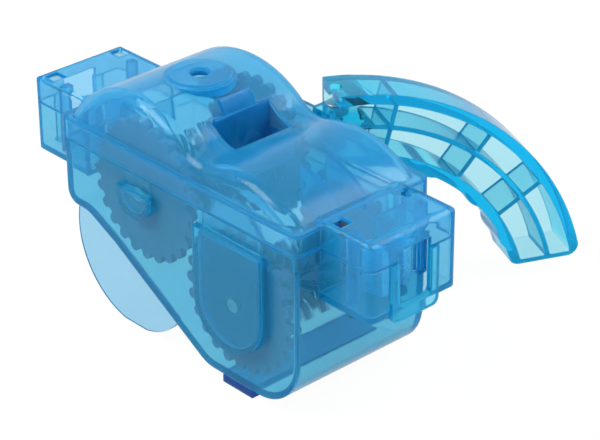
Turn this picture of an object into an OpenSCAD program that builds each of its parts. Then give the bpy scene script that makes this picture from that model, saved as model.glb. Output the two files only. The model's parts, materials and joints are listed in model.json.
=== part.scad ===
// Bicycle chain cleaner: a closed bath with turning brushes that clips round a chain.
// X runs along the chain and Z is up. The origin is the middle of the foot's underside, on
// the surface that the tool stands on. The sizes below are measured from the middle of the
// body instead, and the whole tool is drawn shifted by the place of its foot.

/* [Body] */
// Length of the rim where lid and bath meet.
body_l = 112.6; // [104:0.2:124]
// Width of that rim.
body_w = 56; // [52:0.2:62]
// Height of the joint between bath and lid.
seam_z = 58.9; // [57:0.1:60]
// Underside of the bath's rim.
rim_z = 54; // [52:0.1:55]
// Top of the lid's straight skirt.
skirt_z = 66.7; // [65:0.1:67.5]
// Radius of the rim's upright corners.
corner_r = 2.5; // [1:0.1:4]
// How far the rim stands out past the bath's walls.
rim_out = 1; // [0.6:0.1:1.6]
// Wall of the bath.
bath_wall = 2; // [1.6:0.1:2.2]
// Wall of the lid.
lid_wall = 1.6; // [1.2:0.1:1.8]

/* [Bath] */
// Underside of the shallow end.
shallow_z = 35.2; // [33:0.1:36]
// Where the shallow floor starts to fall, from the middle, as a share of the length.
shallow_share = 0.4; // [0.38:0.002:0.42]
// Where the floor reaches its full slope, as such a share.
slope_share = 0.284; // [0.27:0.002:0.3]
// Underside of the floor there.
slope_z = 29; // [27:0.1:30]
// Where the slope meets the flat bottom, as such a share.
sump_share = 0.1155; // [0.1:0.0005:0.13]
// Underside of the deep end.
sump_z = 2.9; // [2:0.1:3.4]
// Radius between the deep end's floor and its end wall.
sump_corner_r = 18; // [14:0.5:24]
// Gap between the front wheel and the deep end's floor and end wall.
sump_gap = 2.1; // [1.8:0.1:2.6]
// Radius of the bends in the floor.
bend_r = 6; // [3:0.5:8]

/* [Brush wheels] */
// Place of the rear axle from the middle, as a share of the rim's length.
rear_axle_share = 0.159; // [0.155:0.001:0.165]
// Extra distance of the front axle from the end wall.
axle_back = 0.3; // [0:0.1:0.4]
// How far the front axle is lowered within that gap.
axle_drop = 0.8; // [0.6:0.1:0.9]
// Gap between the two wheels.
wheel_gap = 0.8; // [0.7:0.1:3]
// Depth of a tooth.
tooth_h = 2.4; // [1.5:0.1:3]
// Radius of a tooth's round end.
tooth_r = 1.9; // [1.2:0.1:2.2]
// Teeth round a disc.
teeth = 24; // [16:1:26]
// Thickness of a disc.
disc_t = 2.4; // [1.6:0.1:3]
// Gap between a disc and the bath's wall.
disc_gap = 0.9; // [0.6:0.1:1.2]
// Radius of the steel axles.
axle_r = 2.5; // [1.5:0.1:3]
// Radial play of an axle in its carriers.
axle_play = 0.05; // [0.02:0.01:0.1]
// Radius of the hub between the discs.
hub_r = 6; // [5:0.1:7]
// Radius over the bristles.
bristle_r = 13.8; // [12:0.1:14]
// Radius of one tuft.
tuft_r = 1.3; // [0.8:0.1:1.5]
// Tufts round the hub in one row.
tufts = 12; // [8:1:14]
// Rows of tufts on a hub.
tuft_rows = 4; // [3:1:4]
// Distance between the rows.
row_pitch = 9; // [6:0.1:11]

/* [Bearing lobes] */
// How far the lobes stand out of the side walls.
lobe_out = 3.2; // [2.4:0.1:4]
// Half width of the rear lobe.
rear_lobe_r = 8; // [7.5:0.1:9]
// Half width of the front lobe.
front_lobe_r = 15.5; // [14:0.1:16]
// Thickness of the plates that carry the axles.
carrier_t = 1.5; // [1.2:0.1:1.6]
// Wall left outside the slots in the rim.
slot_wall = 1.2; // [1:0.1:1.4]

/* [Lid] */
// Place of the rear hump's centre from the middle, as a share of the length.
rear_hump_share = 0.191; // [0.185:0.001:0.2]
// Height of the rear hump's centre.
rear_hump_z = 44.5; // [44:0.1:45]
// Radius of the rear hump.
rear_hump_r = 39.5; // [39:0.1:40]
// Place of the front hump's centre from the middle, as a share of the length.
front_hump_share = 0.253; // [0.25:0.001:0.26]
// Height of the front hump's centre.
front_hump_z = 37; // [36:0.1:38]
// Radius of the front hump.
front_hump_r = 38.7; // [38:0.1:39.4]
// Radius of the valley between the humps.
valley_r = 14; // [8:0.5:20]
// Step from the rim's side in to the humps' side.
hump_step = 1.4; // [1.2:0.1:1.5]
// Radius of the humps' long edges.
hump_edge_r = 5; // [3:0.1:6]
// Radius over the filler's ring.
filler_r = 11.7; // [9:0.1:13]
// Distance from the rear hump's middle to the filler's.
filler_in = 2.9; // [0:0.1:3.4]
// Height of the filler ring's face.
filler_z = 84.5; // [84.3:0.1:85]
// Radius of the filler's raised middle.
filler_step_r = 10.2; // [7:0.1:11]
// Rise of the middle over the ring.
filler_step = 0.9; // [0.4:0.1:1.5]
// Radius of the filler hole.
filler_hole_r = 3.3; // [2.5:0.1:4.5]

/* [Brush window] */
// Distance from the rear hump's middle to the window's.
window_in = 26.2; // [26:0.1:26.8]
// Middle of the window across the body.
window_y = 0.9; // [0:0.1:1]
// Length of the window along the body.
window_l = 11.6; // [10:0.1:12]
// Width of the window across the body.
window_w = 23.6; // [20:0.1:24]
// Gap between the brush block and the window.
window_gap = 0.35; // [0.3:0.05:0.6]
// Wall of the brush block.
block_wall = 1.2; // [1:0.1:1.6]
// Height of the block's rear wall.
block_back_z = 78.8; // [78.4:0.1:80]
// Height of the block's other walls.
block_rim_z = 69.4; // [67:0.1:69.6]
// Height of the block's floor.
block_floor_z = 62.4; // [62:0.1:63]
// Thickness of the block's floor.
block_floor_t = 2.4; // [1.6:0.1:3]
// Wall of the lid's collar round the window.
collar_wall = 1.2; // [1:0.1:1.4]
// Width of the collar's ledge under the block.
ledge_w = 1.2; // [1:0.1:1.2]
// Thickness of that ledge.
ledge_t = 1; // [0.8:0.1:1.2]
// Width of the thumb tab.
tab_w = 13; // [9:0.1:15]
// Rise of the thumb tab over the block's rear wall.
tab_rise = 5.2; // [4:0.1:6]
// Thickness of the thumb tab.
tab_t = 2.2; // [1.8:0.1:2.6]
// How far the thumb tab stands off the middle of the block.
tab_shift = 1; // [0:0.1:2]
// Length of the upper bristles.
top_bristle_l = 9; // [6:0.1:9.4]
// Tufts across the body under the block.
top_columns = 7; // [3:1:7]
// Tufts along the body under the block.
top_rows = 3; // [1:1:3]
// Distance between those tufts.
top_pitch = 3; // [2.6:0.1:3]

/* [End blocks] */
// Width of both end blocks.
block_w = 36.2; // [34:0.2:38]
// Underside of the end blocks.
block_z = 41.5; // [41:0.1:42.5]
// Top of the end blocks.
block_top = 68.3; // [68:0.1:69]
// Reach of the front block past the rim.
front_reach = 21.4; // [18:0.1:24]
// Reach of the rear block past the rim.
rear_reach = 26.5; // [24:0.1:28]
// Radius of the blocks' end edges.
block_edge_r = 3.4; // [2:0.1:5]
// Radius of the blocks' upright edges.
block_corner_r = 2.4; // [1:0.1:4]
// Radius of the long top edges of an end block.
block_shoulder_r = 2; // [1:0.1:2.4]
// Width of the chain ports.
port_w = 13.2; // [11:0.1:15]
// Height of the ports' lower edge.
port_z = 43.3; // [43.2:0.1:44]
// Height of the ports' upper edge.
port_top = 62.3; // [61:0.1:63.5]
// Width of the rim strip round a port.
port_strip = 3.2; // [2.4:0.1:4]
// How far the strip hangs below the port.
port_drop = 4.5; // [3:0.1:5]
// How far the strip stands out of the block.
port_proud = 0.8; // [0.4:0.1:1.4]
// Radius of the port's lower corners.
port_r = 2.5; // [1:0.1:4]
// Side of the square catch holes.
catch_hole = 4.8; // [4:0.1:6]
// Distance between the catch holes of a block.
catch_gap = 27.4; // [26:0.1:28]
// Distance from the rim to the front catch holes.
front_catch_out = 4.1; // [4:0.1:5.5]
// Distance from the rim to the rear catch holes.
rear_catch_out = 20.1; // [19:0.1:20.4]
// Distance from a catch hole to its prong.
prong_shift = 6; // [5.4:0.1:7]
// Side of a prong.
prong_w = 3.2; // [2.4:0.1:3.6]
// Gap between the foam pads that wipe the chain.
pad_gap = 6.8; // [6.6:0.1:8]
// Where the pads start, as a share of a block's reach.
pad_start_share = 0.3; // [0.25:0.01:0.35]
// Where the pads end, as a share of a block's reach.
pad_end_share = 0.62; // [0.5:0.01:0.7]

/* [Guides and magnet] */
// Thickness of the chain guides under the lid.
guide_t = 1.6; // [1.2:0.1:2]
// Distance between the chain guides.
guide_gap = 9; // [8.4:0.1:13]
// Lower edge of the chain guides.
guide_z = 60; // [59.4:0.1:62]
// Length of the chain guides.
guide_l = 17; // [10:0.1:20]
// Distance from the rim's front end to the chain guides.
guide_in = 5.3; // [4:0.1:8]
// Radius of the magnet.
magnet_r = 4; // [3:0.1:5]
// Thickness of the magnet.
magnet_t = 2; // [1.5:0.1:2.6]
// Distance from the start of the flat bottom back to the magnet.
magnet_back = 16; // [13:0.1:19]
// Height of the magnet's seat over the underside of the sloping floor.
magnet_rise = 6.8; // [5:0.1:8]

/* [Feet] */
// Radius of the round stand fins.
fin_r = 28; // [27.6:0.1:29]
// Place of the fins' centre from the middle, as a share of the rim's length.
fin_share = 0.223; // [0.21:0.001:0.23]
// Height of the fins' centre.
fin_z = 27.5; // [27:0.1:27.6]
// Thickness of a fin.
fin_t = 1.6; // [1.2:0.1:2.2]
// Step from the bath's side in to the fins.
fin_step = 2; // [1.4:0.1:4]
// Length of the foot under the deep end.
foot_l = 14; // [10:0.1:18]
// How far the foot starts behind the middle of the round bottom.
foot_back = 6.3; // [5:0.1:8]

/* [Handle] */
// Angle between the handle and the body's side.
handle_yaw = 24; // [20:1:28]
// Distance from the rim's side to the corner where the handle's open edge starts.
handle_out = 2; // [1.8:0.1:3]
// Depth of the handle's channel.
handle_d = 16; // [14:0.1:17]
// Centre of the handle's arcs, out from the corner.
arc_s = -1; // [-1.4:0.1:-0.6]
// Height of the handle's top.
handle_top_z = 77.5; // [76:0.1:79]
// Radius of the handle's outer wall.
handle_out_r = 90; // [88:0.1:92]
// Height of the handle's section.
handle_h = 24.6; // [23:0.1:25]
// Place of the middle rib in that height, as a share.
handle_rib_share = 0.5366; // [0.52:0.0002:0.56]
// Thickness of the outer wall and the finger wall.
handle_wall = 3.6; // [3:0.1:4]
// Thickness of the ribs.
handle_rib_t = 1.7; // [1.4:0.1:2.2]
// Thickness of the handle's back.
handle_back_t = 1.6; // [1.2:0.1:2.2]
// Height of the handle's lower end.
handle_tip_z = 4.6; // [4:0.1:8]
// Radius of the lower end's two corners.
handle_tip_r = 4; // [2:0.1:5]
// Radius of the finger waves.
wave_r = 9; // [7:0.5:12]
// How far a wave stands out of the finger side.
wave_h = 0.9; // [0.4:0.1:1.2]
// Radius of the handle's pin.
pin_r = 2; // [1.5:0.1:2.5]
// Radial play of the pin in the handle.
pin_play = 0.05; // [0.02:0.01:0.1]
// Radius of the knuckles round the pin.
knuckle_r = 4.2; // [3.8:0.1:4.4]
// Distance from the handle's top down to its own knuckle.
knuckle_drop = 9.7; // [9.5:0.1:10]
// Height of that knuckle.
knuckle_h = 8; // [7:0.1:8.2]
// Gap between knuckles.
knuckle_gap = 0.4; // [0.3:0.1:0.5]
// Thickness of the bracket's lugs.
lug_t = 3; // [2.6:0.1:3.2]
// Thickness of the bracket's plate.
plate_t = 1.5; // [1.3:0.1:1.6]
// Gap between the rear lobe and the bracket's plate.
plate_rear_gap = 3.6; // [1:0.1:4]
// Gap between the front lobe and the bracket's plate.
plate_front_gap = 0.4; // [0.3:0.1:1]
// Gap between the plate and the rim behind it.
plate_gap = 0.4; // [0.2:0.1:0.5]
// Lower edge of the bracket's plate.
plate_z = 40; // [38:0.1:41]
// Radius of a bracket screw's head.
screw_head_r = 2.6; // [2:0.1:3]
// Radius of a bracket screw's shank.
screw_r = 1.2; // [1:0.1:1.5]
// Distance between the bracket screws, as a share of the plate's length.
screw_share = 0.65; // [0.5:0.01:0.68]
// Height of the screws over the plate's lower edge.
screw_rise = 8; // [6:0.1:8]
// Radius of the pin's head.
pin_head_r = 3.2; // [2.6:0.1:3.6]
// Thickness of the pin's head.
pin_head_t = 0.8; // [0.6:0.1:1.2]

/* [Hidden] */
$fn = 64;
// How far a cut runs past the face that it opens.
over = 1;
// Steps that draw a bend of an outline.
bend_steps = 6;
// How far the valley's roll reaches into the humps, so that they cross.
valley_bite = 0.04;
half_l = body_l / 2;
half_w = body_w / 2;
bath_l = body_l - 2 * rim_out;
bath_w = body_w - 2 * rim_out;
// Floor of the slots that let the carriers drop into the lobes.
slot_z = rim_z - bath_wall;
rear_axle_x = -rear_axle_share * body_l;
rear_axle_z = slot_z;
// The wheels are as large as the length allows: their axles lie one radius and the gaps
// away from the deep end's wall and floor, and two radii and the gap from each other.
wheel_a = bath_l / 2 - bath_wall - sump_gap - axle_back - rear_axle_x;
wheel_b = rear_axle_z - sump_z - bath_wall - sump_gap + axle_drop;
wheel_c = wheel_a + wheel_b + 2 * wheel_gap;
disc_r = (sqrt(pow(wheel_c, 2) + 2 * (pow(wheel_a, 2) + pow(wheel_b, 2) - pow(wheel_gap, 2)))
          - wheel_c) / 2;
sump_r = disc_r + sump_gap + bath_wall;
sump_x = bath_l / 2 - sump_r;
sump_cz = sump_z + sump_r;
corner_x = bath_l / 2 - sump_corner_r;
corner_z = sump_z + sump_corner_r;
front_axle_x = sump_x - axle_back;
front_axle_z = sump_cz - axle_drop;
shallow_x = -shallow_share * body_l;
slope_x = -slope_share * body_l;
sump_flat_x = sump_share * body_l;
disc_out_y = bath_w / 2 - bath_wall - disc_gap;
disc_in_y = disc_out_y - disc_t;
lobe_y = bath_w / 2 + lobe_out;
lobe_inner_y = lobe_y - bath_wall;
slot_y = half_w - slot_wall;
// Clearance between an axle's end and the slot.
axle_end_gap = 0.3;
carrier_y = slot_y - carrier_t;
// Distance of the carriers' top from the lid.
carrier_gap = 0.5;
// Where the end blocks start, inside the body's end walls.
block_x = half_l - 2 * lid_wall;
front_end_x = half_l + front_reach;
rear_end_x = -half_l - rear_reach;
rear_hump_x = -rear_hump_share * body_l;
front_hump_x = front_hump_share * body_l;
hump_w = body_w - 2 * hump_step;
filler_x = rear_hump_x + filler_in;
window_x = rear_hump_x + window_in;
front_catch_x = half_l + front_catch_out;
rear_catch_x = -half_l - rear_catch_out;
guide_x1 = half_l - guide_in;
guide_x0 = guide_x1 - guide_l;
magnet_x = sump_flat_x - magnet_back;
magnet_z = sump_z + magnet_back * (slope_z - sump_z) / (sump_flat_x - slope_x) + magnet_rise;
fin_x = -fin_share * body_l;
fin_w = bath_w - 2 * fin_step;
foot_x = sump_x - foot_back;
plate_x = rear_axle_x + rear_lobe_r + plate_rear_gap;
plate_l = front_axle_x - front_lobe_r - plate_front_gap - plate_x;
plate_y = half_w + plate_gap;
plate_mid = plate_x + plate_l / 2;
screw_gap = screw_share * plate_l;
// Place of the pin in the handle's depth and out from its corner.
pin_n = -handle_d / 2;
pin_s = 2;
pin_x = plate_x + plate_l - knuckle_r;
handle_x = pin_x - pin_s * sin(handle_yaw) - pin_n * cos(handle_yaw);
handle_y = half_w + handle_out;
pin_y = handle_y + pin_s * cos(handle_yaw) - pin_n * sin(handle_yaw);
handle_in_r = handle_out_r - handle_h;
handle_rib_r = handle_in_r + handle_rib_share * handle_h;
arc_z = handle_top_z - handle_out_r;
knuckle_z1 = handle_top_z - knuckle_drop;
knuckle_z0 = knuckle_z1 - knuckle_h;
window_x0 = window_x - window_l / 2;
window_x1 = window_x + window_l / 2;
tab_z = block_back_z + tab_rise;
// Turns of the handle's cross ribs and finger waves from upright.
rib_angles = [14, 38.3, 56.8];
wave_angles = [29, 47, 65];

function direction(v) = v / norm(v);
function inward(a, b) = let (d = direction(b - a)) [-d[1], d[0]];

// An open outline moved to its left by t, with mitred corners.
function shifted(p, t) = [
    for (i = [0 : len(p) - 1])
        let (
            before = i == 0 ? inward(p[0], p[1]) : inward(p[i - 1], p[i]),
            after = i == len(p) - 1 ? before : inward(p[i], p[i + 1])
        )
        p[i] + t * (before + after) / (1 + before * after)
];

// The corner a-b-c drawn as an arc of radius r.
function bend(a, b, c, r) = let (
    u = direction(a - b),
    v = direction(c - b),
    half = acos(u * v) / 2,
    centre = b + direction(u + v) * r / sin(half),
    first = b + u * r / tan(half) - centre,
    last = b + v * r / tan(half) - centre,
    start = atan2(first[1], first[0]),
    turn = (atan2(last[1], last[0]) - start + 540) % 360 - 180
) [for (i = [0 : bend_steps]) centre + r * [cos(start + turn * i / bend_steps),
                                            sin(start + turn * i / bend_steps)]];

// The bath's floor from the rear rim down to the deep end.
function floor_path() = let (p = [
    [-bath_l / 2, seam_z],
    [-bath_l / 2, shallow_z],
    [shallow_x, shallow_z],
    [slope_x, slope_z],
    [sump_flat_x, sump_z],
    [corner_x, sump_z]
]) concat([p[0]],
    bend(p[0], p[1], p[2], bend_r - bath_wall / 2),
    bend(p[1], p[2], p[3], 2 * bend_r),
    bend(p[2], p[3], p[4], 2 * bend_r),
    bend(p[3], p[4], p[5], 2 * bend_r),
    [p[5]]);

// Draws a side view, X and Z, as a plate of the given thickness across the body.
module across(thickness) {
    rotate([90, 0, 0])
        linear_extrude(height = thickness, center = true)
            children();
}

// A plate from one y to another.
module between_y(y0, y1) {
    translate([0, (y0 + y1) / 2, 0])
        across(abs(y1 - y0))
            children();
}

module both_sides() {
    children();
    mirror([0, 1, 0])
        children();
}

module rounded_rect(l, w, r) {
    union() {
        square([l - 2 * r, w], center = true);
        square([l, w - 2 * r], center = true);
        for (x = [-1, 1], y = [-1, 1])
            translate([x * (l / 2 - r), y * (w / 2 - r)])
                circle(r = r);
    }
}

module bath_side(inset, top) {
    union() {
        polygon(concat(
            shifted(floor_path(), inset),
            [[corner_x, corner_z],
             [bath_l / 2 - inset, corner_z],
             [bath_l / 2 - inset, top],
             [-bath_l / 2 + inset, top]]));
        intersection() {
            translate([corner_x, corner_z])
                circle(r = sump_corner_r - inset);
            translate([-half_l, 0])
                square([body_l, top]);
        }
    }
}

// A lobe is a U: round below the axle and straight up to the given height.
module lobe_side(x, z, r, top) {
    intersection() {
        union() {
            translate([x, z])
                circle(r = r);
            translate([x - r, z])
                square([2 * r, body_w]);
        }
        translate([x - r, 0])
            square([2 * r, top]);
    }
}

module lobe_sides(inset, top) {
    lobe_side(rear_axle_x, rear_axle_z, rear_lobe_r - inset, top);
    lobe_side(front_axle_x, front_axle_z, front_lobe_r - inset, top);
}

// Mirrors its children in X when side is negative.
module facing(side) {
    if (side < 0)
        mirror([1, 0, 0])
            children();
    else
        children();
}

// One end block from x0, inside the body's wall, to its end x1.
module block_form(x0, x1, z0, z1, w, edge_r, upright_r, shoulder_r) {
    l = abs(x1 - x0);
    side = sign(x1 - x0);
    intersection() {
        translate([x0, 0, 0])
            across(w)
                facing(side) {
                    translate([0, z0])
                        square([l, z1 - z0 - edge_r]);
                    translate([0, z1 - edge_r])
                        square([l - edge_r, edge_r]);
                    translate([l - edge_r, z1 - edge_r])
                        circle(r = edge_r);
                }
        translate([(x0 + x1) / 2 - side * upright_r / 2, 0, z0])
            linear_extrude(height = z1 - z0)
                rounded_rect(l + upright_r, w, upright_r);
        translate([min(x0, x1), 0, 0])
            rotate([90, 0, 90])
                linear_extrude(height = l)
                    union() {
                        translate([-w / 2, z0])
                            square([w, z1 - z0 - shoulder_r]);
                        translate([-w / 2 + shoulder_r, z0])
                            square([w - 2 * shoulder_r, z1 - z0]);
                        for (y = [-1, 1])
                            translate([y * (w / 2 - shoulder_r), z1 - shoulder_r])
                                circle(r = shoulder_r);
                    }
    }
}

module front_block(inset) {
    block_form(block_x + inset, front_end_x - inset, block_z + inset, block_top - inset,
               block_w - 2 * inset, block_edge_r - inset, block_corner_r - inset / 2,
               block_shoulder_r - inset / 2);
}

module rear_block(inset) {
    block_form(-block_x - inset, rear_end_x + inset, block_z + inset, block_top - inset,
               block_w - 2 * inset, block_edge_r - inset, block_corner_r - inset / 2,
               block_shoulder_r - inset / 2);
}

// Everything below the joint between bath and lid, and everything above it.
module below_seam() {
    translate([-body_l, -body_w, 0])
        cube([2 * body_l, 2 * body_w, seam_z]);
}

module above_seam() {
    translate([-body_l, -body_w, seam_z])
        cube([2 * body_l, 2 * body_w, seam_z]);
}

// The opening that the chain passes, right along the body.
module port_cut(x0, x1) {
    translate([x0, 0, 0])
        rotate([90, 0, 90])
            linear_extrude(height = x1 - x0)
                union() {
                    translate([-port_w / 2, port_z + port_r])
                        square([port_w, port_top - port_z - port_r]);
                    translate([-port_w / 2 + port_r, port_z])
                        square([port_w - 2 * port_r, port_r]);
                    for (y = [-1, 1])
                        translate([y * (port_w / 2 - port_r), port_z + port_r])
                            circle(r = port_r);
                }
}

// The strip's outline in the port's own plane, up to the joint.
module strip_outline() {
    half = port_w / 2 + port_strip;
    low = port_z - port_drop;
    union() {
        translate([-half, low + port_r])
            square([2 * half, seam_z - low - port_r]);
        translate([-half + port_r, low])
            square([2 * half - 2 * port_r, port_r]);
        for (y = [-1, 1])
            translate([y * (half - port_r), low + port_r])
                circle(r = port_r);
    }
}

module strip_solid(x0, x1) {
    translate([x0, 0, 0])
        rotate([90, 0, 90])
            linear_extrude(height = x1 - x0)
                strip_outline();
}

module bath() {
    color("#3fa3dc")
        difference() {
            union() {
                across(bath_w)
                    bath_side(0, seam_z);
                across(2 * lobe_y)
                    lobe_sides(0, rim_z);
                translate([0, 0, rim_z])
                    linear_extrude(height = seam_z - rim_z)
                        rounded_rect(body_l, body_w, corner_r);
                intersection() {
                    union() {
                        front_block(0);
                        rear_block(0);
                    }
                    below_seam();
                }
            }
            across(bath_w - 2 * bath_wall)
                bath_side(bath_wall, seam_z + over);
            across(2 * lobe_inner_y)
                lobe_sides(bath_wall, slot_z);
            across(2 * slot_y)
                lobe_sides(bath_wall, seam_z + over);
            front_block(lid_wall);
            rear_block(lid_wall);
            port_cut(rear_end_x - over, front_end_x + over);
            strip_solid(front_end_x - lid_wall, front_end_x + over);
            strip_solid(rear_end_x - over, rear_end_x + lid_wall);
        }
}

// The round top of the lid, drawn as discs turned about an axle across the body.
module hump(x, z, r, w, edge_r) {
    translate([x, 0, z])
        rotate([90, 0, 0])
            rotate_extrude($fn = 96)
                union() {
                    translate([0, -w / 2])
                        square([r - edge_r, w]);
                    translate([0, -w / 2 + edge_r])
                        square([r, w - 2 * edge_r]);
                    for (y = [-1, 1])
                        translate([r - edge_r, y * (w / 2 - edge_r)])
                            circle(r = edge_r);
                }
}

// The hollow between the humps is rolled with the valley radius.
module valley(inset) {
    w = hump_w - 2 * inset;
    edge_r = hump_edge_r - inset;
    roll = valley_r + inset;
    ra = rear_hump_r - inset;
    rb = front_hump_r - inset;
    reach_a = ra + roll - valley_bite;
    reach_b = rb + roll - valley_bite;
    a = [rear_hump_x, rear_hump_z];
    b = [front_hump_x, front_hump_z];
    span = norm(b - a);
    along = (pow(reach_a, 2) - pow(reach_b, 2) + pow(span, 2)) / (2 * span);
    up = sqrt(pow(reach_a, 2) - pow(along, 2));
    u = direction(b - a);
    c = a + along * u + up * [-u[1], u[0]];
    ta = a + direction(c - a) * ra;
    tb = b + direction(c - b) * rb;
    difference() {
        across(w)
            polygon([ta, a, b, tb]);
        translate([c[0], 0, c[1]])
            rotate([90, 0, 0])
                rotate_extrude($fn = 96)
                    difference() {
                        translate([0, -w])
                            square([roll + edge_r, 2 * w]);
                        translate([roll, -w / 2 + edge_r])
                            square([edge_r + over, w - 2 * edge_r]);
                        for (y = [-1, 1])
                            translate([roll + edge_r, y * (w / 2 - edge_r)])
                                circle(r = edge_r);
                    }
    }
}

module humps(inset) {
    hump(rear_hump_x, rear_hump_z, rear_hump_r - inset, hump_w - 2 * inset, hump_edge_r - inset);
    hump(front_hump_x, front_hump_z, front_hump_r - inset, hump_w - 2 * inset,
         hump_edge_r - inset);
    valley(inset);
}

module body_box(inset, z0, z1) {
    translate([0, 0, z0])
        linear_extrude(height = z1 - z0)
            rounded_rect(body_l - 2 * inset, body_w - 2 * inset, corner_r - inset / 2);
}

// A box round the window, grown or shrunk by inset, from z0 up.
module window_box(inset, z0) {
    translate([window_x0 + inset, window_y - window_w / 2 + inset, z0])
        cube([window_l - 2 * inset, window_w - 2 * inset, body_w]);
}

// The collar hangs from the window and has a ledge for the block.
module collar() {
    difference() {
        intersection() {
            humps(lid_wall / 2);
            window_box(-collar_wall, block_floor_z - ledge_t);
        }
        window_box(0, block_floor_z);
        window_box(ledge_w, block_floor_z - ledge_t - over);
    }
}

module catch_cut(x) {
    for (y = [-1, 1])
        translate([x - catch_hole / 2, y * catch_gap / 2 - catch_hole / 2,
                   block_top - lid_wall - over])
            cube([catch_hole, catch_hole, lid_wall + 2 * over]);
}

module lid() {
    color("#2f8fd2")
        union() {
            lid_shell();
            collar();
        }
}

module lid_shell() {
    difference() {
        intersection() {
            union() {
                intersection() {
                    humps(0);
                    body_box(0, 0, 2 * skirt_z);
                }
                body_box(0, seam_z, skirt_z);
                front_block(0);
                rear_block(0);
            }
            above_seam();
        }
        intersection() {
            humps(lid_wall);
            body_box(lid_wall, 0, 2 * skirt_z);
        }
        body_box(lid_wall, seam_z - over, skirt_z - lid_wall);
        front_block(lid_wall);
        rear_block(lid_wall);
        port_cut(rear_end_x - over, front_end_x + over);
        window_box(0, skirt_z - over);
        catch_cut(front_catch_x);
        catch_cut(rear_catch_x);
        translate([filler_x, 0, skirt_z])
            cylinder(r = filler_hole_r, h = skirt_z);
    }
}

module filler() {
    color("#4fb0e4")
        difference() {
            union() {
                translate([filler_x, 0, rear_hump_z])
                    cylinder(r = filler_r, h = filler_z - rear_hump_z);
                translate([filler_x, 0, rear_hump_z])
                    cylinder(r = filler_step_r, h = filler_z + filler_step - rear_hump_z);
            }
            hump(rear_hump_x, rear_hump_z, rear_hump_r, hump_w, hump_edge_r);
            translate([filler_x, 0, rear_hump_z - over])
                cylinder(r = filler_hole_r, h = rear_hump_r + 2 * over + filler_step);
        }
}

module brush_block() {
    l = window_l - 2 * window_gap;
    w = window_w - 2 * window_gap;
    y0 = window_y - w / 2;
    x0 = window_x0 + window_gap;
    color("#2d86c8")
        union() {
            difference() {
                translate([x0, y0, block_floor_z])
                    cube([l, w, block_rim_z - block_floor_z]);
                translate([x0 + block_wall, y0 + block_wall, block_floor_z + block_floor_t])
                    cube([l - 2 * block_wall, w - 2 * block_wall, window_w]);
            }
            translate([x0, y0, block_floor_z])
                cube([block_wall, w, block_back_z - block_floor_z]);
            translate([0, window_y - tab_shift, 0])
                across(tab_w)
                    polygon([
                        [x0, block_back_z - tab_t],
                        [x0 + block_wall, block_back_z - tab_t],
                        [x0 + block_wall, tab_z - tab_t - tab_t / 2],
                        [x0 - tab_t / 2, tab_z],
                        [x0 - tab_t, tab_z - tab_t / 2],
                        [x0, tab_z - 2 * tab_t]
                    ]);
        }
}

// Tufts that point down from the block's floor, in rows.
module top_bristles() {
    color("#22588f")
        for (i = [0 : top_columns - 1], j = [0 : top_rows - 1])
            translate([window_x + (j - (top_rows - 1) / 2) * top_pitch,
                       window_y + (i - (top_columns - 1) / 2) * top_pitch,
                       block_floor_z - top_bristle_l])
                cylinder(r = tuft_r, h = top_bristle_l, $fn = 24);
}

// A brush wheel's parts are drawn about their own axle and then put in place.
module at_rear_axle() {
    translate([rear_axle_x, 0, rear_axle_z])
        children();
}

module at_front_axle() {
    translate([front_axle_x, 0, front_axle_z])
        children();
}

module axle() {
    color("#a9adb2")
        rotate([90, 0, 0])
            cylinder(r = axle_r, h = 2 * (slot_y - axle_end_gap), center = true);
}

module hub() {
    color("#3c6ea6")
        rotate([90, 0, 0])
            difference() {
                cylinder(r = hub_r, h = 2 * disc_in_y, center = true);
                cylinder(r = axle_r, h = 2 * disc_in_y + over, center = true);
            }
}

module disc(side) {
    root_r = disc_r - tooth_h;
    color("#315c8e")
        between_y(side * disc_in_y, side * disc_out_y)
            difference() {
                union() {
                    circle(r = root_r);
                    for (i = [0 : teeth - 1])
                        rotate(i * 360 / teeth) {
                            translate([disc_r - tooth_r, 0])
                                circle(r = tooth_r, $fn = 24);
                            translate([root_r - tooth_r, -tooth_r])
                                square([tooth_h, 2 * tooth_r]);
                        }
                }
                circle(r = axle_r);
            }
}

module bristles() {
    color("#27548a")
        difference() {
            for (row = [0 : tuft_rows - 1], i = [0 : tufts - 1])
                translate([0, (row - (tuft_rows - 1) / 2) * row_pitch, 0])
                    rotate([0, (i + (row % 2) / 2) * 360 / tufts, 0])
                        translate([0, 0, hub_r - over])
                            cylinder(r = tuft_r, h = bristle_r - hub_r + over, $fn = 24);
            rotate([90, 0, 0])
                cylinder(r = hub_r, h = body_w, center = true);
        }
}

// Plates that drop into the lobes and carry one axle.
module carriers(x, z, r) {
    color("#5fb4e0")
        both_sides()
            between_y(carrier_y, slot_y)
                difference() {
                    lobe_side(x, z, r - bath_wall, seam_z - carrier_gap);
                    translate([x, z])
                        circle(r = axle_r + axle_play);
                }
}

module rear_carriers() {
    carriers(rear_axle_x, rear_axle_z, rear_lobe_r);
}

module front_carriers() {
    carriers(front_axle_x, front_axle_z, front_lobe_r);
}

module port_strip_part(x0, x1) {
    color("#2a9be0")
        difference() {
            strip_solid(x0, x1);
            port_cut(x0 - over, x1 + over);
        }
}

module front_port() {
    port_strip_part(front_end_x - lid_wall, front_end_x + port_proud);
}

module rear_port() {
    port_strip_part(rear_end_x - port_proud, rear_end_x + lid_wall);
}

// Two pads that wipe the chain's sides just inside a port.
module pads(x0, x1) {
    w = (port_w - pad_gap) / 2;
    h = seam_z - block_z - lid_wall;
    color("#2c7fc4")
        both_sides()
            translate([x0, pad_gap / 2, block_z + lid_wall])
                cube([x1 - x0, w, h]);
}

module front_pads() {
    pads(half_l + pad_start_share * front_reach, half_l + pad_end_share * front_reach);
}

module rear_pads() {
    pads(-half_l - pad_end_share * rear_reach, -half_l - pad_start_share * rear_reach);
}

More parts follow.
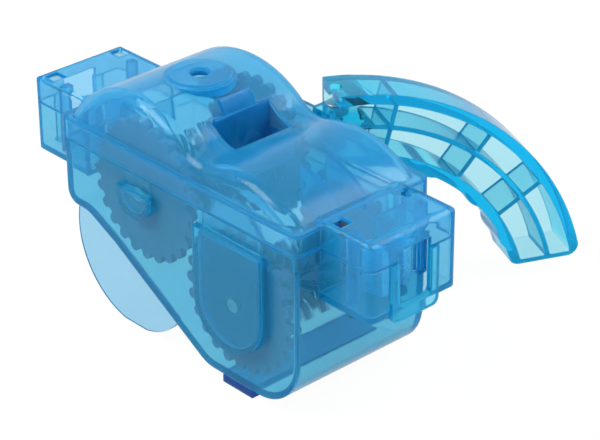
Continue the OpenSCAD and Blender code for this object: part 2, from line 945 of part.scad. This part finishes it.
// Prongs on the bath's blocks that hold the lid's blocks down.
module prongs() {
    low = block_z + lid_wall;
    h = block_top - lid_wall - low - knuckle_gap;
    color("#2b7fc0")
        for (x = [front_catch_x + prong_shift, rear_catch_x + prong_shift], y = [-1, 1])
            translate([x - prong_w / 2, y * catch_gap / 2 - prong_w / 2, low])
                cube([prong_w, prong_w, h]);
}

// Ribs under the front hump that keep the chain in the middle.
module guides() {
    color("#2a78bd")
        both_sides()
            between_y(guide_gap / 2, guide_gap / 2 + guide_t)
                intersection() {
                    translate([front_hump_x, front_hump_z])
                        circle(r = front_hump_r - lid_wall, $fn = 96);
                    translate([guide_x0, guide_z])
                        square([guide_x1 - guide_x0, skirt_z]);
                }
}

module magnet_seat() {
    color("#3fa3dc")
        difference() {
            translate([magnet_x, 0, sump_z])
                cylinder(r = magnet_r + bath_wall / 2, h = magnet_z - sump_z);
            translate([magnet_x, 0, magnet_z - magnet_t])
                cylinder(r = magnet_r, h = magnet_t + over);
            across(body_w)
                floor_strip();
        }
}

// What lies under the bath's inner floor.
module floor_strip() {
    difference() {
        translate([-half_l, -over])
            square([body_l, seam_z]);
        bath_side(bath_wall, seam_z + over);
    }
}

module magnet() {
    color("#8f949a")
        translate([magnet_x, 0, magnet_z - magnet_t])
            cylinder(r = magnet_r, h = magnet_t);
}

module fins() {
    color("#9fd6f2")
        both_sides()
            between_y(fin_w / 2 - fin_t, fin_w / 2)
                difference() {
                    intersection() {
                        translate([fin_x, fin_z])
                            circle(r = fin_r, $fn = 96);
                        translate([-bath_l / 2, 0])
                            square([bath_l, shallow_z]);
                    }
                    bath_side(0, seam_z);
                }
}

module foot() {
    color("#2c6fc0")
        translate([foot_x, -bath_w / 2, 0])
            cube([foot_l, bath_w, sump_z]);
}

// Puts children in the handle's frame: first axis out from the body, second up,
// third from the handle's back to its open side.
module in_handle() {
    translate([handle_x, handle_y, 0])
        rotate([0, 0, 90 - handle_yaw])
            rotate([90, 0, 0])
                translate([0, 0, -handle_d])
                    children();
}

module arc_band(r0, r1) {
    difference() {
        circle(r = r1, $fn = 180);
        circle(r = r0, $fn = 180);
    }
}

// The stretch of the arcs that belongs to the handle.
module handle_reach() {
    translate([pin_s - handle_rib_t, handle_tip_z])
        square([handle_out_r, handle_out_r]);
}

// Distance out to the arc of radius r where the tip's corner starts to round.
function tip_s(r) = arc_s + sqrt(pow(r, 2) - pow(handle_tip_z + handle_tip_r - arc_z, 2));

// What the rounding of a corner takes off; side is 1 for the outer one.
module tip_cut(s, side) {
    translate([s - side * handle_tip_r, handle_tip_z + handle_tip_r])
        difference() {
            facing(side)
                translate([0, -handle_tip_r - over])
                    square([2 * handle_tip_r, handle_tip_r + over]);
            circle(r = handle_tip_r);
        }
}

module handle_side() {
    difference() {
        intersection() {
            translate([arc_s, arc_z]) {
                arc_band(handle_in_r, handle_out_r);
                for (a = wave_angles)
                    rotate(-a)
                        translate([0, handle_in_r - wave_h + wave_r])
                            circle(r = wave_r);
            }
            handle_reach();
        }
        tip_cut(tip_s(handle_out_r), 1);
        tip_cut(tip_s(handle_in_r), -1);
    }
}

module handle_ribs() {
    half = handle_rib_t / 2;
    intersection() {
        union() {
            translate([arc_s, arc_z]) {
                arc_band(handle_out_r - handle_wall, handle_out_r);
                arc_band(handle_rib_r - half, handle_rib_r + half);
                arc_band(handle_in_r - wave_h, handle_in_r + handle_wall);
                for (a = rib_angles)
                    rotate(-a)
                        translate([-half, handle_in_r + half])
                            square([handle_rib_t, handle_out_r - handle_in_r - handle_rib_t]);
            }
            translate([handle_in_r - handle_wall - 2 * wave_r, handle_tip_z])
                square([handle_out_r, handle_rib_t]);
        }
        handle_side();
    }
}

module handle() {
    color("#5cc0ea")
        difference() {
            union() {
                in_handle() {
                    linear_extrude(height = handle_d)
                        handle_ribs();
                    linear_extrude(height = handle_back_t)
                        handle_side();
                    translate([pin_s, knuckle_z0, handle_d / 4])
                        cube([2 * knuckle_r, knuckle_z1 - knuckle_z0, handle_d / 2]);
                }
                translate([pin_x, pin_y, knuckle_z0])
                    cylinder(r = knuckle_r, h = knuckle_z1 - knuckle_z0);
            }
            translate([pin_x, pin_y, 0])
                cylinder(r = pin_r + pin_play, h = body_l);
            swing_space();
        }
}

// Room round the bracket's lugs and in front of its plate for the handle to swing.
module swing_space() {
    room = knuckle_r * sqrt(2) + knuckle_gap;
    for (z = [lug_low_z(), lug_high_z()])
        translate([pin_x, pin_y, z - knuckle_gap])
            cylinder(r = room, h = lug_t + 2 * knuckle_gap);
    translate([-body_l, 0, 0])
        cube([2 * body_l, plate_y + plate_t + knuckle_gap, lug_high_z() + lug_t + knuckle_gap]);
}

function lug_low_z() = knuckle_z0 - knuckle_gap - lug_t;
function lug_high_z() = knuckle_z1 + knuckle_gap;

module bracket() {
    z1 = lug_high_z() + lug_t;
    color("#1f9fda")
        difference() {
            union() {
                translate([plate_x, plate_y, plate_z])
                    cube([plate_l, plate_t, z1 - plate_z]);
                translate([plate_x, bath_w / 2, plate_z])
                    cube([plate_l, plate_y - bath_w / 2, rim_z - plate_z - plate_gap]);
                for (z = [lug_low_z(), lug_high_z()]) {
                    translate([pin_x, pin_y, z])
                        cylinder(r = knuckle_r, h = lug_t);
                    translate([pin_x - knuckle_r, plate_y, z])
                        cube([2 * knuckle_r, pin_y - plate_y, lug_t]);
                }
            }
            translate([pin_x, pin_y, 0])
                cylinder(r = pin_r, h = body_l);
            at_screws()
                cylinder(r = screw_r, h = body_w, center = true);
        }
}

module at_screws() {
    for (x = [-1, 1])
        translate([plate_mid + x * screw_gap / 2, plate_y + plate_t, plate_z + screw_rise])
            rotate([90, 0, 0])
                children();
}

module screws() {
    depth = plate_y + plate_t - bath_w / 2;
    head_h = screw_r;
    color("#b6babf")
        at_screws() {
            cylinder(r = screw_r, h = depth);
            translate([0, 0, -head_h])
                cylinder(r = screw_head_r, h = head_h);
        }
}

module pin() {
    low = lug_low_z() - knuckle_gap;
    high = lug_high_z() + lug_t;
    color("#b6babf")
        union() {
            translate([pin_x, pin_y, low])
                cylinder(r = pin_r, h = high - low);
            translate([pin_x, pin_y, high])
                cylinder(r = pin_head_r, h = pin_head_t);
        }
}

module rear_axle() at_rear_axle() axle();
module front_axle() at_front_axle() axle();
module rear_hub() at_rear_axle() hub();
module front_hub() at_front_axle() hub();
module rear_disc_near() at_rear_axle() disc(-1);
module rear_disc_far() at_rear_axle() disc(1);
module front_disc_near() at_front_axle() disc(-1);
module front_disc_far() at_front_axle() disc(1);
module rear_bristles() at_rear_axle() bristles();
module front_bristles() at_front_axle() bristles();

translate([-foot_x - foot_l / 2, 0, 0]) {
    bath();
    lid();
    filler();
    brush_block();
    top_bristles();
    rear_axle();
    rear_hub();
    rear_disc_near();
    rear_disc_far();
    rear_bristles();
    rear_carriers();
    front_axle();
    front_hub();
    front_disc_near();
    front_disc_far();
    front_bristles();
    front_carriers();
    front_port();
    rear_port();
    front_pads();
    rear_pads();
    prongs();
    guides();
    magnet_seat();
    magnet();
    fins();
    foot();
    handle();
    bracket();
    screws();
    pin();
}
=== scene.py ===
import json
import math

import bmesh
import bpy
from mathutils import Matrix, Vector, noise


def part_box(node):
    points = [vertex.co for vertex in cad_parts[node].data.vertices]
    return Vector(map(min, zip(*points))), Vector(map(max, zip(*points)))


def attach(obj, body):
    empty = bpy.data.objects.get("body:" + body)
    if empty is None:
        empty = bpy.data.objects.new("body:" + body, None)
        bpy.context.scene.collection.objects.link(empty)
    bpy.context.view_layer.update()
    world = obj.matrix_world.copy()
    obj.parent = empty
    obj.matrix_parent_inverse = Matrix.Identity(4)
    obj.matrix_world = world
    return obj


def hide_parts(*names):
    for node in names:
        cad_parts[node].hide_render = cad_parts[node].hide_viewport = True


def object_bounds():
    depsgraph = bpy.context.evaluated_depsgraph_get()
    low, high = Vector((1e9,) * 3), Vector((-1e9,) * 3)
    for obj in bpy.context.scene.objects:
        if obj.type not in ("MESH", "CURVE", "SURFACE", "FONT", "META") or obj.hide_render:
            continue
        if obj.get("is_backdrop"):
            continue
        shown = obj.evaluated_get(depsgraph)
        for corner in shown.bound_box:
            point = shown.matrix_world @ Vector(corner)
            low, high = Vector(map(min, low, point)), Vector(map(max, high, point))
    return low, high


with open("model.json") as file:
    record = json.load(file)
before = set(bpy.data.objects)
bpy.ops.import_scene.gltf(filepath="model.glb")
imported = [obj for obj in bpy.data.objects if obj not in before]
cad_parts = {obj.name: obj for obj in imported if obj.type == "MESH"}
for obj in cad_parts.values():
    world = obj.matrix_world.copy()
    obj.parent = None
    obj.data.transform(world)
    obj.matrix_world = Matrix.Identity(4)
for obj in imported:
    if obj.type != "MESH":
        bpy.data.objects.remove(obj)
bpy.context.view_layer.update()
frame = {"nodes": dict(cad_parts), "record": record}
nodes = frame["nodes"]
record = frame["record"]

# The photograph's view: a long lens from above and from the deep end's side, solved from the
# straight edges of the body.
lens = bpy.data.cameras.new("camera")
lens.sensor_width = 36
lens.lens = 146.36
lens.clip_start = 0.05
lens.clip_end = 20
camera = bpy.data.objects.new("camera", lens)
bpy.context.scene.collection.objects.link(camera)
right = Vector((0.67769, 0.73533, -0.00632))
up = Vector((-0.35052, 0.33058, 0.87628))
ahead = Vector((-0.64644, 0.59163, -0.48178))
camera.matrix_world = Matrix.Translation((0.48796, -0.44656, 0.41423)) @ Matrix(
    (right, up, -ahead)).transposed().to_4x4()
bpy.context.scene.camera = camera
bpy.context.scene.view_settings.view_transform = "Standard"
# A line of sight crosses up to ten clear walls, each with two faces.
bpy.context.scene.cycles.max_bounces = 32
bpy.context.scene.cycles.transmission_bounces = 32
bpy.context.scene.cycles.glossy_bounces = 24
bpy.context.scene.cycles.diffuse_bounces = 8


def to_linear(code):
    """An sRGB hex colour as linear red, green, blue and one."""
    parts = [int(code[i:i + 2], 16) / 255 for i in (1, 3, 5)]
    return [c / 12.92 if c <= 0.04045 else ((c + 0.055) / 1.055) ** 2.4 for c in parts] + [1]


def add(tree, kind, settings=(), **links):
    """Adds a node: settings are its properties and socket values, links its incoming sockets."""
    node = tree.nodes.new(kind)
    for name, value in dict(settings).items():
        if isinstance(name, int) or name in node.inputs:
            node.inputs[name].default_value = value
        else:
            setattr(node, name, value)
    for name, source in links.items():
        tree.links.new(source, node.inputs[name.replace("_", " ")])
    return node


def seen_share(tree):
    """One on rays that see the background straight, in a mirror or through glass, else zero."""
    path = add(tree, "ShaderNodeLightPath")
    total = path.outputs["Is Camera Ray"]
    for kind in ("Is Glossy Ray", "Is Transmission Ray"):
        both = add(tree, "ShaderNodeMath", {"operation": "MAXIMUM"})
        tree.links.new(total, both.inputs[0])
        tree.links.new(path.outputs[kind], both.inputs[1])
        total = both.outputs[0]
    return total


def span(tree, value, low, high):
    """Maps a value from zero to one onto low to high."""
    return add(tree, "ShaderNodeMapRange", {"To Min": low, "To Max": high}, Value=value).outputs[0]


def mixed(tree, share, first, second):
    """Mixes two shaders; share, a number or a socket, is the second one's part."""
    both = add(tree, "ShaderNodeMixShader")
    if isinstance(share, float):
        both.inputs[0].default_value = share
    else:
        tree.links.new(share, both.inputs[0])
    tree.links.new(first.outputs[0], both.inputs[1])
    tree.links.new(second.outputs[0], both.inputs[2])
    return both


def blank(name):
    """A new material, and its node tree, which is empty."""
    material = bpy.data.materials.new(name)
    material.use_nodes = True
    material.node_tree.nodes.clear()
    return material, material.node_tree


# The studio: a white dome, two broad soft boxes and a pale floor. The floor is nearly as
# bright as the backdrop, so that only a faint shadow shows.
world = bpy.data.worlds.new("studio")
bpy.context.scene.world = world
world.use_nodes = True
tree = world.node_tree
tree.nodes.clear()
dome = add(tree, "ShaderNodeBackground", {"Color": to_linear("#ffffff")},
           Strength=span(tree, seen_share(tree), 0.75, 1.0))
add(tree, "ShaderNodeOutputWorld", Surface=dome.outputs[0])

for name, place, target, size, power in (
        ("key_box", (-0.35, -0.55, 0.75), (0, 0, 0.04), 0.5, 9),
        ("far_box", (0.45, 0.6, 0.7), (0, 0.02, 0.05), 0.6, 7)):
    lamp = bpy.data.lights.new(name, "AREA")
    lamp.shape = "SQUARE"
    lamp.size = size
    lamp.energy = power
    box = bpy.data.objects.new(name, lamp)
    box.location = place
    box.rotation_euler = (Vector(target) - Vector(place)).to_track_quat("-Z", "Y").to_euler()
    bpy.context.scene.collection.objects.link(box)

floor_half_width = 3
floor_drop = 0.0004
floor_mesh = bpy.data.meshes.new("floor")
shape = bmesh.new()
bmesh.ops.create_grid(shape, x_segments=1, y_segments=1, size=floor_half_width)
bmesh.ops.translate(shape, verts=shape.verts, vec=(0, 0, -floor_drop))
shape.to_mesh(floor_mesh)
shape.free()
floor = bpy.data.objects.new("floor", floor_mesh)
bpy.context.scene.collection.objects.link(floor)
paper, tree = blank("white_paper")
matt = add(tree, "ShaderNodeBsdfDiffuse", {"Color": to_linear("#f4f4f4")})
glow = add(tree, "ShaderNodeEmission", {"Color": to_linear("#ffffff")})
both = mixed(tree, span(tree, seen_share(tree), 0.0, 0.96), matt, glow)
add(tree, "ShaderNodeOutputMaterial", Surface=both.outputs[0])
floor_mesh.materials.append(paper)
floor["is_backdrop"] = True


# The bath is injection moulded in one piece from clear blue polycarbonate, walls 2 mm thick.
# The dye sits in the plastic, so thick and edge-on places are deeper in colour than one wall,
# and a fine haze in it catches the light.
def mottle(tree, place, scale, detail):
    """Noise over a piece's own coordinates, scale is its grain per metre."""
    return add(tree, "ShaderNodeTexNoise", {"Scale": scale, "Detail": detail},
               Vector=place).outputs["Fac"]


def clear_plastic(name, haze, dye, depth, cover, blur=0.05, shine=0.2):
    """Moulded clear plastic: haze and cover are its milky share, dye and depth its colour.

    blur is how much the clear share scatters, shine the roughness of its skin.
    """
    plastic, tree = blank(name)
    place = add(tree, "ShaderNodeTexCoord").outputs["Object"]
    # Flow marks of the mould, about 12 mm apart, a peel of about 1.5 mm, and fine rub marks.
    flow = mottle(tree, place, 80, 2)
    peel = mottle(tree, place, 650, 2)
    along = add(tree, "ShaderNodeMapping", {"Scale": (120, 2400, 2400)}, Vector=place)
    rubs = mottle(tree, along.outputs[0], 1, 1)
    wear = add(tree, "ShaderNodeMath", {"operation": "MULTIPLY"})
    tree.links.new(flow, wear.inputs[0])
    tree.links.new(rubs, wear.inputs[1])
    uneven = 0.06
    gloss = add(tree, "ShaderNodeMapRange",
                {"From Min": 0.1, "From Max": 0.4, "To Min": shine - uneven,
                 "To Max": shine + uneven}, Value=wear.outputs[0])
    relief = add(tree, "ShaderNodeBump", {"Strength": 0.1, "Distance": 0.0001}, Height=peel)
    milky = to_linear(haze)
    tone = add(tree, "ShaderNodeMix", {"data_type": "RGBA"})
    tree.links.new(flow, tone.inputs["Factor"])
    tone.inputs[6].default_value = [0.9 * c for c in milky[:3]] + [1]
    tone.inputs[7].default_value = milky
    lit_side = add(tree, "ShaderNodeBsdfDiffuse", Color=tone.outputs[2],
                   Normal=relief.outputs[0])
    far_side = add(tree, "ShaderNodeBsdfTranslucent", Color=tone.outputs[2])
    cloud = mixed(tree, 0.45, lit_side, far_side)
    clear = add(tree, "ShaderNodeBsdfRefraction", {"IOR": 1.49, "Roughness": blur},
                Normal=relief.outputs[0])
    wall = mixed(tree, cover, clear, cloud)
    mirror = add(tree, "ShaderNodeBsdfGlossy", Roughness=gloss.outputs[0],
                 Normal=relief.outputs[0])
    # Light that runs along inside a wall is scattered out at its edges, which glow in the
    # dye's colour; outside, the skin mirrors only weakly.
    inside = add(tree, "ShaderNodeNewGeometry").outputs["Backfacing"]
    glance = add(tree, "ShaderNodeFresnel", IOR=span(tree, inside, 1.26, 1.49),
                 Normal=relief.outputs[0])
    edge = mixed(tree, span(tree, inside, 0.0, 0.4), mirror, cloud)
    skin = mixed(tree, glance.outputs[0], wall, edge)
    stain = add(tree, "ShaderNodeVolumeAbsorption", {"Color": to_linear(dye), "Density": depth})
    add(tree, "ShaderNodeOutputMaterial", Surface=skin.outputs[0], Volume=stain.outputs[0])
    return plastic


def stands_for(piece, node):
    """Puts a piece in a CAD node's place: its body and the node itself."""
    bodies = record["behaviour"]["bodies"]
    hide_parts(node)
    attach(piece, next(body for body, names in bodies.items() if node in names))


# A film of air stays between two pieces that touch, so that light which leaves one enters the
# other. Each piece is drawn in by it.
air_film = 0.00002


def moulded(node, material, edge=0.0003, clear_of=None, slivers=False):
    """Puts a merged copy of a CAD node in its place, with the round edges that a mould leaves.

    clear_of is (point, distance): edges nearer the upright line through the point stay sharp.
    slivers also takes out the hair-thin faces of a form with long tangent curves.
    """
    shape = bmesh.new()
    shape.from_mesh(nodes[node].data)
    bmesh.ops.remove_doubles(shape, verts=shape.verts, dist=1e-6)
    bmesh.ops.dissolve_limit(shape, angle_limit=math.radians(0.5), verts=shape.verts,
                             edges=shape.edges)
    if slivers:
        bmesh.ops.dissolve_degenerate(shape, dist=1e-4, edges=shape.edges)
    sharp = [line for line in shape.edges
             if line.is_manifold and line.calc_face_angle(0) > math.radians(35)]
    if clear_of is not None:
        point, distance = clear_of
        sharp = [line for line in sharp
                 if min((v.co.xy - point).length for v in line.verts) > distance]
    bmesh.ops.bevel(shape, geom=sharp, offset=edge, offset_type="OFFSET", segments=2,
                    profile=0.5, affect="EDGES", clamp_overlap=False, material=-1)
    shape.normal_update()
    for corner in shape.verts:
        corner.co -= air_film * corner.normal
    mesh = bpy.data.meshes.new(f"{node}_moulding")
    shape.to_mesh(mesh)
    shape.free()
    mesh.shade_smooth()
    mesh.set_sharp_from_angle(angle=math.radians(50))
    mesh.materials.append(material)
    piece = bpy.data.objects.new(f"{node}_moulding", mesh)
    bpy.context.scene.collection.objects.link(piece)
    flat = piece.modifiers.new("flat_faces_first", "WEIGHTED_NORMAL")
    flat.keep_sharp = True
    stands_for(piece, node)


bath_plastic = clear_plastic("clear_blue_polycarbonate", "#30ccf8", "#26ebfb", 310, 0.2)
body_edge = 0.0004
moulded("bath", bath_plastic, body_edge)

# The magnet that gathers steel grit sits in a moulded seat on the bath's sloping floor. It is
# a nickel-plated disc, pressed in.
def two_tone(tree, share, dark, light):
    """A colour that goes from dark to light, both hex, as share goes from zero to one."""
    tone = add(tree, "ShaderNodeValToRGB", Fac=share)
    tone.color_ramp.elements[0].color = to_linear(dark)
    tone.color_ramp.elements[1].color = to_linear(light)
    return tone.outputs[0]


moulded("magnet_seat", bath_plastic)
metal_edge = 0.00015
nickel, tree = blank("nickel_plate")
place = add(tree, "ShaderNodeTexCoord").outputs["Object"]
cloud = mottle(tree, place, 500, 3)
skin = add(tree, "ShaderNodeBsdfPrincipled", {"Metallic": 1},
           Base_Color=two_tone(tree, cloud, "#b3b0a8", "#d2cfc8"),
           Roughness=span(tree, cloud, 0.16, 0.3))
add(tree, "ShaderNodeOutputMaterial", Surface=skin.outputs[0])
moulded("magnet", nickel, metal_edge)

# The carriers are clear plates of the bath's plastic that drop into the lobes. The axles turn
# in them: turned steel rods, zinc plated.
for name in ("rear_carriers", "front_carriers"):
    moulded(name, bath_plastic)
steel, tree = blank("zinc_plated_steel")
place = add(tree, "ShaderNodeTexCoord").outputs["Object"]
turned = add(tree, "ShaderNodeMapping", {"Scale": (300, 4000, 300)}, Vector=place)
grooves = mottle(tree, turned.outputs[0], 1, 2)
cloud = mottle(tree, place, 300, 3)
relief = add(tree, "ShaderNodeBump", {"Strength": 0.3, "Distance": 0.00002}, Height=grooves)
skin = add(tree, "ShaderNodeBsdfPrincipled", {"Metallic": 1},
           Base_Color=two_tone(tree, cloud, "#a3a8ae", "#c9ccd0"),
           Roughness=span(tree, cloud, 0.22, 0.38), Normal=relief.outputs[0])
add(tree, "ShaderNodeOutputMaterial", Surface=skin.outputs[0])
for name in ("rear_axle", "front_axle"):
    moulded(name, steel, metal_edge)

# Each brush wheel is a hub with two toothed discs, moulded from grey-lilac nylon and pressed
# on its axle. The teeth drop into the chain's links.
nylon, tree = blank("moulded_nylon")
place = add(tree, "ShaderNodeTexCoord").outputs["Object"]
cloud = mottle(tree, place, 180, 4)
relief = add(tree, "ShaderNodeBump", {"Strength": 0.25, "Distance": 0.00005},
             Height=mottle(tree, place, 2200, 2))
skin = add(tree, "ShaderNodeBsdfPrincipled",
           Base_Color=two_tone(tree, cloud, "#84708a", "#a08ca6"),
           Roughness=span(tree, cloud, 0.42, 0.58), Normal=relief.outputs[0])
add(tree, "ShaderNodeOutputMaterial", Surface=skin.outputs[0])
nylon_edge = 0.0002
for name in ("rear_hub", "front_hub", "rear_disc_near", "rear_disc_far", "front_disc_near",
             "front_disc_far"):
    moulded(name, nylon, nylon_edge)

# The wheels' tufts are bundles of nylon filaments 0.3 mm thick, stapled into the hub in four
# rows of twelve, every other row half a step round.
bristle, tree = blank("nylon_filament")
place = add(tree, "ShaderNodeTexCoord").outputs["Object"]
strands = mottle(tree, place, 1500, 2)
relief = add(tree, "ShaderNodeBump", {"Strength": 0.2, "Distance": 0.00002}, Height=strands)
skin = add(tree, "ShaderNodeBsdfPrincipled",
           Base_Color=two_tone(tree, strands, "#4c4e68", "#74748e"),
           Roughness=span(tree, strands, 0.3, 0.5), Normal=relief.outputs[0])
add(tree, "ShaderNodeOutputMaterial", Surface=skin.outputs[0])
foot_radius = 0.00018
tip_radius = 0.00014
bundle_radius = 0.00095
spiral_turn = 2.4
outward_lean = 0.12
trim_share = 0.05


def tuft(shape, foot, aim, length, filaments=13):
    """Adds a bundle of filaments that stands on foot along aim, each cut to its own length."""
    turn = aim.to_track_quat("Z", "Y").to_matrix().to_4x4()
    for i in range(filaments):
        reach = bundle_radius * math.sqrt(i / filaments)
        side = Vector((math.cos(spiral_turn * i), math.sin(spiral_turn * i), 0)) * reach
        lean = Vector((outward_lean * side.x / bundle_radius,
                       outward_lean * side.y / bundle_radius, 1)).normalized()
        draw = noise.noise(1000 * foot + 7 * side.normalized() + aim)
        trim = length * (1 - trim_share * (0.5 + 0.5 * draw))
        strand = (Matrix.Translation(foot) @ turn @ Matrix.Translation(side)
                  @ lean.to_track_quat("Z", "Y").to_matrix().to_4x4()
                  @ Matrix.Translation((0, 0, trim / 2)))
        bmesh.ops.create_cone(shape, segments=5, radius1=foot_radius, radius2=tip_radius,
                              depth=trim, cap_ends=True, cap_tris=False, matrix=strand)


def brush(name, node, shape):
    """Finishes a bundle mesh as the piece that stands for a CAD node of tufts."""
    mesh = bpy.data.meshes.new(name)
    shape.to_mesh(mesh)
    shape.free()
    mesh.shade_smooth()
    mesh.set_sharp_from_angle(angle=math.radians(80))
    mesh.materials.append(bristle)
    piece = bpy.data.objects.new(name, mesh)
    bpy.context.scene.collection.objects.link(piece)
    stands_for(piece, node)


rows = 4
row_pitch = 0.009
tufts_in_row = 12
hub_radius = 0.006
tuft_length = 0.0077
for side in ("rear", "front"):
    low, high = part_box(f"{side}_bristles")
    middle = (Vector(low) + Vector(high)) / 2
    shape = bmesh.new()
    for row in range(rows):
        for i in range(tufts_in_row):
            turn = math.radians(360 / tufts_in_row * (i + 0.5 * (row % 2)))
            aim = Vector((math.sin(turn), 0, math.cos(turn)))
            across = (row - (rows - 1) / 2) * row_pitch
            foot = middle + Vector((0, across, 0)) + hub_radius * aim
            tuft(shape, foot, aim, tuft_length)
    brush(f"{side}_filaments", f"{side}_bristles", shape)

# The lid is moulded from the same plastic, a shade deeper, with a filler ring in the rear hump
# that is bonded in. Walls are 1.6 mm thick.
lid_plastic = clear_plastic("lid_polycarbonate", "#2cc4f6", "#22e8fb", 330, 0.27)
moulded("lid", lid_plastic, body_edge, slivers=True)
moulded("filler", lid_plastic, body_edge)

# The guides that steer the chain hang under the front hump, and prongs on the bath snap into
# the lid's square holes. Both are of clear blue plastic.
clip_plastic = clear_plastic("clip_polycarbonate", "#18b8f6", "#14e4fb", 400, 0.2)
for name in ("prongs", "guides"):
    moulded(name, clip_plastic, body_edge)

# The brush block drops into the lid's window: an open box of blue plastic with a thumb tab,
# and three rows of filament tufts under its floor.
block_plastic = clear_plastic("block_polycarbonate", "#14b0ee", "#04dcf8", 480, 0.3)
moulded("brush_block", block_plastic)
tuft_pitch = 0.003
low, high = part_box("top_bristles")
middle = (Vector(low) + Vector(high)) / 2
shape = bmesh.new()
for row in (-1, 0, 1):
    for place_in_row in (-3, -2, -1, 0, 1, 2, 3):
        foot = Vector((middle.x + row * tuft_pitch, middle.y + place_in_row * tuft_pitch, high[2]))
        tuft(shape, foot, Vector((0, 0, -1)), high[2] - low[2])
brush("top_filaments", "top_bristles", shape)

# Strips of bright blue plastic frame both chain ports, bonded to the end blocks.
port_plastic = clear_plastic("port_polycarbonate", "#14d4fe", "#14f2fd", 360, 0.26)
for name in ("front_port", "rear_port"):
    moulded(name, port_plastic)

# Foam pads, cut from open-cell foam, wipe the chain's sides just inside each port. They are
# glued to the port's walls.
foam, tree = blank("open_cell_foam")
place = add(tree, "ShaderNodeTexCoord").outputs["Object"]
cells = add(tree, "ShaderNodeTexVoronoi", {"Scale": 1600}, Vector=place).outputs["Distance"]
damp = mottle(tree, place, 260, 3)
# Painted shade: the foam's colour is darkened towards each pore's middle, down to about a third,
# as if shade fell into its open cells.
painted_pore_shade = add(tree, "ShaderNodeMapRange", {"From Max": 0.5, "To Min": 0.35, "To Max": 1.0},
             Value=cells)
shade = add(tree, "ShaderNodeMix",
            {"data_type": "RGBA", "blend_type": "MULTIPLY", "Factor": 1.0})
tree.links.new(two_tone(tree, damp, "#34a8e4", "#60ccf8"), shade.inputs[6])
tree.links.new(painted_pore_shade.outputs[0], shade.inputs[7])
relief = add(tree, "ShaderNodeBump", {"Strength": 0.8, "Distance": 0.0002}, Height=cells)
skin = add(tree, "ShaderNodeBsdfPrincipled", {"Roughness": 0.92, "Sheen Weight": 0.2},
           Base_Color=shade.outputs[2], Normal=relief.outputs[0])
add(tree, "ShaderNodeOutputMaterial", Surface=skin.outputs[0])
pad_thickness = 0.0032
crown_share = 0.07
cell_depth = 0.00006
for side in ("rear", "front"):
    low, high = (Vector(corner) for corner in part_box(f"{side}_pads"))
    middle = (low + high) / 2
    size = high - low
    shape = bmesh.new()
    for y in (low.y + pad_thickness / 2, high.y - pad_thickness / 2):
        cut = bmesh.new()
        bmesh.ops.create_cube(cut, size=1)
        bmesh.ops.subdivide_edges(cut, edges=cut.edges, cuts=9, use_grid_fill=True)
        bmesh.ops.scale(cut, verts=cut.verts, vec=(size.x, pad_thickness, size.z))
        bmesh.ops.smooth_vert(cut, verts=cut.verts, factor=0.5, use_axis_x=True,
                              use_axis_y=True, use_axis_z=True)
        for v in cut.verts:
            # The cut face swells a little between its edges, and its cells make it uneven.
            v.co.y *= 1 - crown_share * (abs(2 * v.co.z / size.z) ** 3)
            v.co += cell_depth * noise.noise_vector(v.co * 900 + Vector((y * 1000, 0, 0)))
        bmesh.ops.translate(cut, verts=cut.verts, vec=(middle.x, y, middle.z))
        part = bpy.data.meshes.new("cut")
        cut.to_mesh(part)
        cut.free()
        shape.from_mesh(part)
        bpy.data.meshes.remove(part)
    mesh = bpy.data.meshes.new(f"{side}_foam")
    shape.to_mesh(mesh)
    shape.free()
    mesh.shade_smooth()
    mesh.materials.append(foam)
    piece = bpy.data.objects.new(f"{side}_foam", mesh)
    bpy.context.scene.collection.objects.link(piece)
    finer = piece.modifiers.new("finer", "SUBSURF")
    finer.levels = finer.render_levels = 1
    stands_for(piece, f"{side}_pads")

# Two round fins of a paler grade are part of the shallow end's underside, and the foot of deep
# blue plastic is bonded under the deep end. The tool stands on them.
fin_plastic = clear_plastic("fin_polycarbonate", "#20a8ea", "#00dcf6", 420, 0.14)
moulded("fins", fin_plastic)
foot_plastic = clear_plastic("foot_polycarbonate", "#1888e0", "#10ccf6", 450, 0.25)
moulded("foot", foot_plastic)

# The bracket, a moulded plate with two lugs, is held on the far side wall by two pan-head
# screws. The handle's knuckle turns between the lugs on a steel pin.
moulded("bracket", port_plastic)
for name in ("screws", "pin"):
    moulded(name, steel, metal_edge)

# The handle is a curved channel, moulded with thin ribs and finger waves. It is clearer than
# the body, and its edges show the dye deepest. Its edges near the pin stay sharp.
handle_plastic = clear_plastic("handle_polycarbonate", "#24dcfe", "#1ef2fd", 340, 0.12, 0.04)
pin_place = Vector((-0.0211, 0.03508))
knuckle_reach = 0.012
moulded("handle", handle_plastic, clear_of=(pin_place, knuckle_reach))

low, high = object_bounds()
